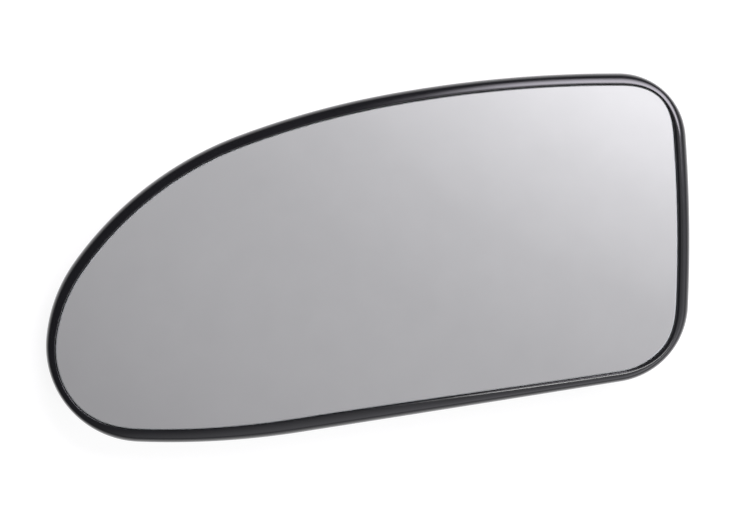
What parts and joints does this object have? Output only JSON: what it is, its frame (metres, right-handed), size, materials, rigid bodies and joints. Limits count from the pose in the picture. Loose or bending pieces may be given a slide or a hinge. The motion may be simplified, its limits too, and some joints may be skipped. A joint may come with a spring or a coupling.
{
  "type": "car door mirror glass",
  "caption": "Convex car door mirror glass bonded into a black moulded carrier with a rounded rim and a ring of snap fingers on its back.",
  "frame": {"origin": "on the clip ring's axis, in the plane of its finger ends, on which the part lies", "axes": "+Z out of the reflecting face; +X to the right and +Y up as seen by someone who looks at the face"},
  "size_m": [0.178, 0.102, 0.0168],
  "materials": {
    "mirror_coated_glass": "polished convex glass with a reflecting coat and a ground edge",
    "adhesive_foam": "thin sheet of acrylic foam",
    "black_moulding": "black moulded ABS, satin on the rim and plain on the back"
  },
  "bodies": {
    "root": {"mirror_glass": "mirror_coated_glass", "adhesive_pad": "adhesive_foam", "carrier_plate": "black_moulding"}
  },
  "joints": []
}
